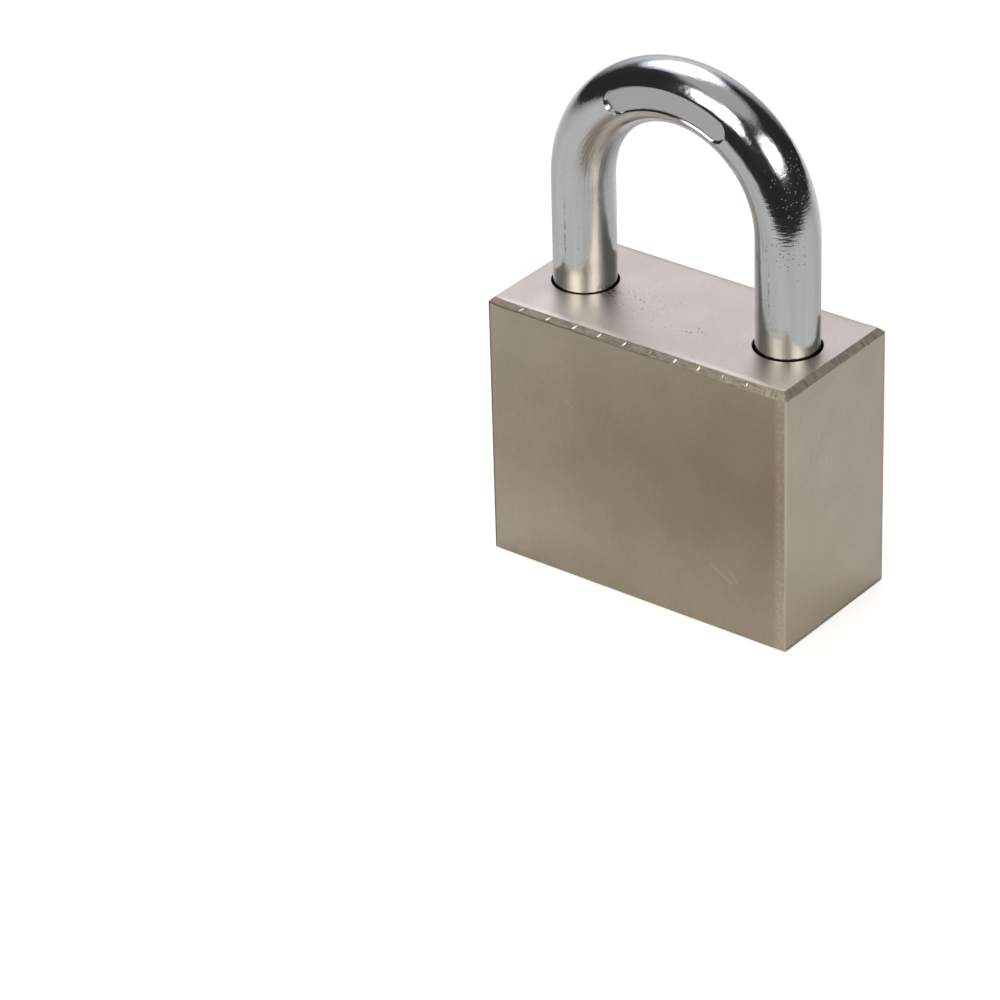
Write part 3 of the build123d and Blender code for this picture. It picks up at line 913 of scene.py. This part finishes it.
def case_cutters(materials, slot):
    """Cutters for the leg holes, cylinder bore, cam cavity, ball channel and pin hole."""
    top = CASE_HIGH.z
    hole = ROD_RADIUS + LEG_HOLE_GAP
    channel = (PLUG_HIGH.z - PLUG_LOW.z) / 2
    cavity = (CAM_HIGH.y - CAM_LOW.y) / 2 + CAVITY_SIDE_GAP
    sleeve = (CAP_HIGH.x - CAP_LOW.x) / 2
    pin = (PIN_HIGH.x - PIN_LOW.x) / 2
    pin_height = (PIN_HIGH.z + PIN_LOW.z) / 2
    legs = (
        ("heel_hole", -LEG_X, SPRING_FLOOR, HOLE_BREAK),
        ("toe_hole", LEG_X, top - TOE_DEPTH - TOE_FLOOR_GAP, TOE_BREAK),
    )
    cutters = []
    for name, leg_x, floor, edge in legs:
        profile = [(hole, floor), (hole, top - edge), (hole + edge, top), (hole + edge, top + CUT_OVERRUN)]
        cutters.append(lathe_cutter(name, profile, Matrix.Translation((leg_x, 0, 0)), slot, materials))
    bore = [(sleeve + HOLE_BREAK, -CUT_OVERRUN), (sleeve + HOLE_BREAK, 0), (sleeve, HOLE_BREAK)]
    bore += [(sleeve, CAP_HIGH.z)]
    cutters.append(lathe_cutter("bore", bore, Matrix.Identity(4), slot, materials))
    room = [(cavity, CAP_HIGH.z - HOLE_BREAK), (cavity, CAM_HIGH.z + CAVITY_END_GAP)]
    cutters.append(lathe_cutter("cavity", room, Matrix.Identity(4), slot, materials))
    along_x = Matrix.Translation((0, 0, BALL_Z)) @ Matrix.Rotation(math.pi / 2, 4, "Y")
    run = [(channel, CASE_LOW.x - CUT_OVERRUN), (channel, LEG_X)]
    cutters.append(lathe_cutter("channel", run, along_x, slot, materials))
    along_y = Matrix.Translation((0, 0, pin_height)) @ Matrix.Rotation(-math.pi / 2, 4, "X")
    dowel = [(pin, sleeve / 2), (pin, CASE_HIGH.y + CUT_OVERRUN)]
    cutters.append(lathe_cutter("dowel", dowel, along_y, slot, materials))
    return cutters


class PADLOCK_OT_case(bpy.types.Operator):
    """Builds the satin case block with its milled chamfer and its drilled holes"""
    bl_idname = "padlock.case"
    bl_label = "Case block"

    def execute(self, context):
        settings = context.scene.padlock_case
        finishes = (satin_nickel, milled_nickel, drilled_steel, fresh_cut_and_glint)
        materials = [make(settings) for make in finishes]
        half_x, half_y, top = CASE_HIGH
        radius = settings.edge_round
        points = block_outline(half_x, half_y, radius, settings.edge_roll)
        rings = [level_ring(points, EDGE_BREAK, 0.0, radius)]
        for height in (EDGE_BREAK, *(top * share for share in SIDE_ROWS)):
            rings.append(level_ring(points, 0.0, height, radius))
        rolls = [top_roll(point, settings) for point in points]
        eases = [tapered(point, FOOT_EASES) for point in points]
        feet = [top - roll - settings.chamfer - cut_depth(point) + foot_wander(point)
                for point, roll in zip(points, rolls)]
        eased_feet = [foot - ease * FOOT_DROP for foot, ease in zip(feet, eases)]
        rings.append(ring_at(points, [0.0] * len(points), eased_feet, radius))
        chamfer, nicks = chamfer_rings(points, rolls, eases, settings)
        rings += chamfer
        for row in range(1, ROLL_ROWS + 1):
            run = TOP_ROLL_WIDTH * row / ROLL_ROWS
            insets = [settings.chamfer + cut_depth(point) + run for point in points]
            heights = [top - roll * rolled(run, TOP_ROLL_WIDTH) for roll in rolls]
            rings.append(ring_at(points, insets, heights, radius))
        bm = bmesh.new()
        strips = loft(bm, rings)
        chamfer_strips = strips[-CHAMFER_ROWS - ROLL_ROWS:-ROLL_ROWS]
        for strip, nicked in zip(chamfer_strips, nicks):
            for face, bright in zip(strip, nicked):
                face.material_index = FRESH_AND_GLINT if bright else MILLED
        bmesh.ops.recalc_face_normals(bm, faces=bm.faces)
        block = mesh_object("case_block", bm, materials)
        cut_away(block, case_cutters(materials, DRILLED))
        smooth_by_angle(block, CASE_SMOOTH)
        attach(block, "case")
        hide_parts("lock_body")
        return {"FINISHED"}


FRONT_SPREAD = math.radians(34)    # half the dense band of points along the rod's front
FRONT_STEP = 0.12 * MM             # distance between points in that band
ROUND_STEP = math.radians(3.6)     # and round the rest of the rod
BOW_STEP = math.radians(1.5)
LEG_STEP = 0.8 * MM
RECESS_MARGIN = math.radians(8)    # dense stretch beyond each end of the recess
STAMPED_FROM = 0.9                 # share of the recess's depth from which its floor is stamped
WELD = 0.001 * MM                  # points closer than this are made one
ROD_SMOOTH = 30                    # degrees between two faces above which their edge stays sharp


def spread(start, end, step):
    """Even values from start up to, but without, end."""
    count = max(1, round(abs(end - start) / step))
    return [start + (end - start) * i / count for i in range(count)]


def rod_angles():
    """Angles round the rod: close together at the front, where the recess is."""
    front = -math.pi / 2
    dense = spread(front - FRONT_SPREAD, front + FRONT_SPREAD, FRONT_STEP / ROD_RADIUS)
    return dense + spread(front + FRONT_SPREAD, front + 2 * math.pi - FRONT_SPREAD, ROUND_STEP)


def rod_stations(settings, toe_z, heel_z):
    """Places along the rod, from the toe to the heel, as a centre, an outward direction and a radius."""
    stations = [(Vector((LEG_X, 0, toe_z)), Vector((1, 0, 0)), ROD_RADIUS - END_CHAMFER)]
    for height in spread(toe_z + END_CHAMFER, BOW_Z, LEG_STEP):
        stations.append((Vector((LEG_X, 0, height)), Vector((1, 0, 0)), ROD_RADIUS))
    first = settings.recess_start - RECESS_MARGIN
    last = settings.recess_start + settings.recess_sweep + RECESS_MARGIN
    angles = spread(0.0, first, BOW_STEP)
    angles += spread(first, last, FRONT_STEP / LEG_X)
    angles += spread(last, math.pi, BOW_STEP)
    for angle in angles:
        outward = Vector((math.cos(angle), 0, math.sin(angle)))
        stations.append((Vector((0, 0, BOW_Z)) + outward * LEG_X, outward, ROD_RADIUS))
    for height in spread(BOW_Z, heel_z + END_CHAMFER, LEG_STEP):
        stations.append((Vector((-LEG_X, 0, height)), Vector((-1, 0, 0)), ROD_RADIUS))
    stations.append((Vector((-LEG_X, 0, heel_z + END_CHAMFER)), Vector((-1, 0, 0)), ROD_RADIUS))
    stations.append((Vector((-LEG_X, 0, heel_z)), Vector((-1, 0, 0)), ROD_RADIUS - END_CHAMFER))
    return stations


def recess_share(point, settings):
    """1 on the recess's floor, 0 outside it, smooth over its wall."""
    if point.y > 0 or point.z < BOW_Z:
        return 0.0
    angle = math.atan2(point.z - BOW_Z, point.x)
    end = settings.recess_start + settings.recess_sweep
    nearest = min(max(angle, settings.recess_start), end)
    centre = Vector((LEG_X * math.cos(nearest), 0, BOW_Z + LEG_X * math.sin(nearest)))
    away = math.hypot(point.x - centre.x, point.z - centre.z)
    return eased((settings.recess_width / 2 - away) / settings.recess_wall)


def rod_rings(stations, angles, settings):
    """Rings of points round the rod with the recess pressed in, and which faces after each are its floor."""
    floor_y = -ROD_RADIUS + settings.recess_depth
    rings = []
    floors = []
    for centre, outward, radius in stations:
        ring = []
        floor = []
        for angle in angles:
            point = centre + radius * (math.cos(angle) * outward + Vector((0, math.sin(angle), 0)))
            share = recess_share(point, settings)
            point.y += share * max(0.0, floor_y - point.y)
            ring.append(point)
            floor.append(share > STAMPED_FROM)
        rings.append(ring)
        floors.append(floor)
    return rings, floors


def map_rod(bm, strips, floors, stations, angles):
    """Gives the rod's faces their finish and their place on the rod's map."""
    lengths = [0.0]
    for (here, _, _), (there, _, _) in zip(stations, stations[1:]):
        lengths.append(lengths[-1] + (there - here).length)
    map_layer = bm.loops.layers.uv.new(ROD_MAP)
    sides = [angle * ROD_RADIUS for angle in angles]
    sides.append((angles[0] + 2 * math.pi) * ROD_RADIUS)
    for strip, floor, start, end in zip(strips, floors, lengths, lengths[1:]):
        for face, stamped, left, right in zip(strip, floor, sides, sides[1:]):
            face.material_index = 1 if stamped else 0
            for loop, spot in zip(face.loops, ((start, left), (start, right), (end, right), (end, left))):
                loop[map_layer].uv = spot


def ball_path_cutter(name, start, end, materials, segments=64):
    """The round-ended space that a ball and its gap sweep between two points of the shackle."""
    radius = BALL_RADIUS + NOTCH_GAP
    run = end - start
    turn = run.to_track_quat("Z", "Y").to_matrix().to_4x4()
    profile = []
    quarter = segments // 4
    for i in range(1, quarter + 1):
        angle = math.pi / 2 * i / quarter
        profile.append((radius * math.sin(angle), -radius * math.cos(angle)))
    for i in range(quarter):
        angle = math.pi / 2 * i / quarter
        profile.append((radius * math.cos(angle), run.length + radius * math.sin(angle)))
    return lathe_cutter(name, profile, Matrix.Translation(start) @ turn, 0, materials, segments)


def ring_groove_cutter(materials, segments=64):
    """The groove round the heel in which the ball holds the raised shackle."""
    bm = bmesh.new()
    radius = BALL_RADIUS + NOTCH_GAP
    centre = BALL_X - HEEL_BALL_TRAVEL
    offset = LEG_X - centre
    rings = []
    for i in range(segments):
        angle = 2 * math.pi * i / segments
        outward = Vector((math.cos(angle), math.sin(angle), 0))
        ring = []
        for j in range(segments):
            around = 2 * math.pi * j / segments
            reach = offset + radius * math.cos(around)
            ring.append(Vector((-LEG_X, 0, BALL_Z - LIFT + radius * math.sin(around))) + outward * reach)
        rings.append(ring)
    loft(bm, rings + rings[:1], closed_ends=False)
    bmesh.ops.remove_doubles(bm, verts=bm.verts, dist=WELD)
    bmesh.ops.recalc_face_normals(bm, faces=bm.faces)
    return mesh_object("ring_groove", bm, materials)


class PADLOCK_OT_shackle(bpy.types.Operator):
    """Builds the bent rod with its stamped recess, ball notches and ring groove"""
    bl_idname = "padlock.shackle"
    bl_label = "Shackle"

    def execute(self, context):
        settings = context.scene.padlock_shackle
        materials = [bright_plate(settings), stamped_plate(settings)]
        toe_z = CASE_HIGH.z - TOE_DEPTH
        angles = rod_angles()
        stations = rod_stations(settings, toe_z, SHACKLE_LOW.z)
        rings, floors = rod_rings(stations, angles, settings)
        bm = bmesh.new()
        strips = loft(bm, rings)
        map_rod(bm, strips, floors, stations, angles)
        bmesh.ops.recalc_face_normals(bm, faces=bm.faces)
        rod = mesh_object("shackle_rod", bm, materials)
        toe_ball = Vector((BALL_X, 0, BALL_Z))
        toe_end = toe_ball - Vector((TOE_BALL_TRAVEL, 0, LIFT))
        heel_ball = Vector((-BALL_X, 0, BALL_Z))
        heel_end = heel_ball + Vector((HEEL_BALL_TRAVEL, 0, -LIFT))
        cutters = [
            ball_path_cutter("toe_notch", toe_ball, toe_end, materials),
            ball_path_cutter("heel_notch", heel_ball, heel_end, materials),
            ring_groove_cutter(materials),
        ]
        cut_away(rod, cutters)
        smooth_by_angle(rod, ROD_SMOOTH)
        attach(rod, "shackle")
        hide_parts("shackle")
        return {"FINISHED"}


def dress(material, *nodes):
    """Gives CAD nodes a finish."""
    for name in nodes:
        mesh = frame["nodes"][name].data
        mesh.materials.clear()
        mesh.materials.append(material)


class PADLOCK_OT_plugs(bpy.types.Operator):
    """Finishes the channel's plug and the cylinder's pin, which are flush with the case"""
    bl_idname = "padlock.plugs"
    bl_label = "Plug and pin"

    def execute(self, context):
        dress(bpy.data.materials[BLOCK_FINISH], "channel_plug", "cylinder_pin")
        return {"FINISHED"}


class PADLOCK_OT_cylinder(bpy.types.Operator):
    """Finishes the sleeve, cap, drum, key plate, cam, discs, spacers and side bar"""
    bl_idname = "padlock.cylinder"
    bl_label = "Cylinder"

    def execute(self, context):
        settings = context.scene.padlock_cylinder
        brass = turned_metal("turned_brass", settings.brass, 0.22, 0.01 * MM)
        plated = turned_metal("zinc_plate", settings.plated, 0.26, 0.008 * MM)
        spacers = [name for name in frame["nodes"] if name.startswith("spacer_")]
        discs = [name for name in frame["nodes"] if name.startswith("tumbler_disc_")]
        dress(brass, "cylinder_sleeve", "sleeve_cap", "drum", "side_bar", *spacers)
        dress(plated, "face_plate", "locking_cam", *discs)
        return {"FINISHED"}


class PADLOCK_OT_balls(bpy.types.Operator):
    """Finishes the two locking balls and the heel spring"""
    bl_idname = "padlock.balls"
    bl_label = "Balls and spring"

    def execute(self, context):
        settings = context.scene.padlock_cylinder
        dress(turned_metal("polished_steel", settings.ball, 0.08, 0.001 * MM), "toe_ball", "heel_ball")
        dress(turned_metal("drawn_wire", settings.spring, 0.3, 0.01 * MM), "heel_spring")
        return {"FINISHED"}


class Softbox(NamedTuple):
    """A studio lamp: its direction from the padlock in degrees, its size in metres and its brightness."""
    name: str
    bearing: float      # 0 is straight behind the case, 90 is to its right
    height: float
    width: float
    length: float
    lean: float         # degrees that its right end hangs down
    square: float       # 2 makes an oval softbox, more makes it squarer
    feather: float      # share of the half width over which its edge fades
    brightness: float
    tint: tuple


LAMP_DISTANCE = 0.75
LAMP_TARGET = Vector((0, 0, 0.05))
SOFTBOXES = (
    Softbox("back_softbox", -50, 54, 0.84, 0.74, 0, 2.5, 0.5, 1.95, (0.805, 0.815, 1.0)),
    Softbox("back_screen", -33, 18, 1.45, 0.92, 0, 2.0, 0.9, 0.66, (0.96, 0.97, 1.0)),
    Softbox("right_softbox", 109, 37, 0.80, 0.46, 17, 2.5, 0.95, 4.6, (1.0, 0.99, 0.97)),
    Softbox("front_softbox", 182, 42, 0.48, 0.43, 0, 8.0, 0.12, 2.8, (1.0, 0.97, 0.93)),
)
SENSOR_WIDTH = 36.0                 # millimetres
NEAR_CLIP = 0.01
FLOOR_DROP = 0.02 * MM              # keeps the floor clear of the case's own bottom face
FLOOR_FRONT = 0.15                  # the table ends this far from the case at the front
FLOOR_REACH = 1.2                   # and this far from it on the other sides
FLOOR_TURN = math.radians(25)       # its edge is turned this far from the case's front
CEILING_FROM = 54                   # degrees above the horizon where the pale ceiling starts
CEILING_FULL = 67
BEHIND_BEARING = math.radians(-20)  # middle of the white background that the metal mirrors
BEHIND_SPREAD = (0.35, 0.95)        # cosines of the angles from there at which it starts and is full
BEHIND_FROM = (0.08, 0.12)          # and how far behind the case
BEHIND_SHARE = 0.35                 # share of the white that the metal mirrors
PAINTED_SHADOW_CENTRE = (-0.007, -0.053)      # middle of the painted shadow, darker and warmer, on the floor in front of the case
PAINTED_SHADOW_LENGTH = 0.064                 # half its length along the front
PAINTED_SHADOW_WIDTH = 0.035                  # and half its width
WHITE = (1.0, 1.0, 1.0)


def add_softbox(box):
    """An area lamp that faces the padlock; its brightness is what a mirror would show."""
    bearing = math.radians(box.bearing)
    height = math.radians(box.height)
    away = Vector((math.sin(bearing), math.cos(bearing), 0)) * math.cos(height)
    away.z = math.sin(height)
    data = bpy.data.lights.new(box.name, "AREA")
    data.shape = "RECTANGLE"
    data.size = box.width
    data.size_y = box.length
    data.color = box.tint
    data.energy = box.brightness * math.pi * box.width * box.length
    data.use_nodes = True
    graph = Graph(data.node_tree)
    spot = graph.node("ShaderNodeNewGeometry", output="Parametric")
    rim = 0.0
    for axis in graph.parts(spot)[:2]:
        rim = abs(axis * 2 - 1) ** box.square + rim
    fade = (rim ** (1 / box.square)).step(1.0, 1.0 - box.feather)
    glow = graph.node("ShaderNodeEmission", None, {"Strength": fade})
    graph.node("ShaderNodeOutputLight", None, {"Surface": glow})
    lamp = bpy.data.objects.new(box.name, data)
    facing = away.to_track_quat("Z", "Y").to_matrix().to_4x4()
    facing = facing @ Matrix.Rotation(math.radians(box.lean), 4, "Z")
    lamp.matrix_world = Matrix.Translation(LAMP_TARGET + away * LAMP_DISTANCE) @ facing
    lamp.visible_camera = False
    bpy.context.scene.collection.objects.link(lamp)


def studio_world(settings):
    """Dark walls under a pale ceiling; the camera itself sees white."""
    world = bpy.data.worlds.new("studio")
    bpy.context.scene.world = world
    world.use_nodes = True
    graph = Graph(world.node_tree)
    direction = graph.node("ShaderNodeTexCoord", output="Generated")
    _, _, up = graph.parts(direction)
    ceiling = up.step(math.sin(math.radians(CEILING_FROM)), math.sin(math.radians(CEILING_FULL)))
    room = graph.blend(ceiling, settings.walls, settings.ceiling)
    seen = graph.node("ShaderNodeLightPath", output="Is Camera Ray")
    shown = graph.blend(seen, room, WHITE)
    background = graph.node("ShaderNodeBackground", None, {"Color": shown})
    graph.node("ShaderNodeOutputWorld", None, {"Surface": background})


def pale_floor(settings):
    """A matt pale floor, lifted to white for the camera, with the padlock's shadow left on it and a painted
    shadow in front of it that the metal mirrors.
    """
    material, graph = finish("pale_floor")
    seen = graph.node("ShaderNodeLightPath", output="Is Camera Ray")
    spot = graph.node("ShaderNodeTexCoord", output="Object")
    x, y, _ = graph.parts(spot)
    back = x * math.sin(BEHIND_BEARING) + y * math.cos(BEHIND_BEARING)
    away = (x ** 2 + y ** 2) ** 0.5
    behind = (back / away).step(*BEHIND_SPREAD) * back.step(*BEHIND_FROM)
    lifted = seen + seen.other("Is Glossy Ray") * behind * BEHIND_SHARE
    inputs = {"Color": colour(WHITE), "Strength": lifted * settings.floor_lift}
    white = graph.node("ShaderNodeEmission", None, inputs)
    # painted shadow: a darker, warmer floor in front of the case, which the camera itself does not see
    middle = (PAINTED_SHADOW_CENTRE[0] / PAINTED_SHADOW_LENGTH, PAINTED_SHADOW_CENTRE[1] / PAINTED_SHADOW_WIDTH)
    shadow_share = graph.patch(x / PAINTED_SHADOW_LENGTH, y / PAINTED_SHADOW_WIDTH, middle, 1.0) * (1 - seen)
    tone = graph.blend(shadow_share, settings.floor, settings.floor_painted_shadow)
    matt = graph.node("ShaderNodeBsdfDiffuse", None, {"Color": tone})
    both = graph.node("ShaderNodeAddShader", None, {0: white, 1: matt})
    graph.node("ShaderNodeOutputMaterial", None, {"Surface": both})
    return material


class PADLOCK_OT_stage(bpy.types.Operator):
    """Adds the floor, the studio light and the camera"""
    bl_idname = "padlock.stage"
    bl_label = "Stage"

    def execute(self, context):
        scene = context.scene
        settings = scene.padlock_stage
        scene.view_settings.view_transform = "Standard"
        bm = bmesh.new()
        towards = Matrix.Rotation(FLOOR_TURN, 4, "Z")
        for x, y in ((-1, -FLOOR_FRONT), (1, -FLOOR_FRONT), (1, FLOOR_REACH), (-1, FLOOR_REACH)):
            bm.verts.new(towards @ Vector((x * FLOOR_REACH, y, -FLOOR_DROP)))
        bm.faces.new(bm.verts)
        floor = mesh_object("floor", bm, [pale_floor(settings)])
        studio_world(settings)
        for box in SOFTBOXES:
            add_softbox(box)
        data = bpy.data.cameras.new("camera")
        data.sensor_width = SENSOR_WIDTH
        data.lens = settings.focal_length
        data.clip_start = NEAR_CLIP
        camera = bpy.data.objects.new("camera", data)
        turn = Matrix.Rotation(settings.heading, 4, "Z")
        turn = turn @ Matrix.Rotation(math.pi / 2 - settings.tilt, 4, "X")
        turn = turn @ Matrix.Rotation(settings.roll, 4, "Z")
        camera.matrix_world = Matrix.Translation(settings.camera_place) @ turn
        scene.collection.objects.link(camera)
        scene.camera = camera
        return {"FINISHED"}


class PADLOCK_PT_panel(bpy.types.Panel):
    """The padlock's pieces and their settings"""
    bl_label = "Padlock"
    bl_idname = "PADLOCK_PT_panel"
    bl_space_type = "VIEW_3D"
    bl_region_type = "UI"
    bl_category = "Padlock"

    def draw(self, context):
        scene = context.scene
        for operator in OPERATORS:
            self.layout.operator(operator.bl_idname)
        for name in SETTINGS:
            box = self.layout.box()
            group = getattr(scene, name)
            for field in group.__annotations__:
                box.prop(group, field)


OPERATORS = (
    PADLOCK_OT_case,
    PADLOCK_OT_shackle,
    PADLOCK_OT_plugs,
    PADLOCK_OT_cylinder,
    PADLOCK_OT_balls,
    PADLOCK_OT_stage,
)
SETTINGS = {
    "padlock_case": CaseSettings,
    "padlock_shackle": ShackleSettings,
    "padlock_cylinder": CylinderSettings,
    "padlock_stage": StageSettings,
}


def register():
    for name, group in SETTINGS.items():
        bpy.utils.register_class(group)
        setattr(bpy.types.Scene, name, bpy.props.PointerProperty(type=group))
    for operator in OPERATORS:
        bpy.utils.register_class(operator)
    bpy.utils.register_class(PADLOCK_PT_panel)


def unregister():
    bpy.utils.unregister_class(PADLOCK_PT_panel)
    for operator in reversed(OPERATORS):
        bpy.utils.unregister_class(operator)
    for name, group in reversed(SETTINGS.items()):
        delattr(bpy.types.Scene, name)
        bpy.utils.unregister_class(group)


def main():
    register()
    bpy.ops.padlock.case()
    bpy.ops.padlock.shackle()
    bpy.ops.padlock.plugs()
    bpy.ops.padlock.cylinder()
    bpy.ops.padlock.balls()
    bpy.ops.padlock.stage()


if __name__ == "__main__":
    main()
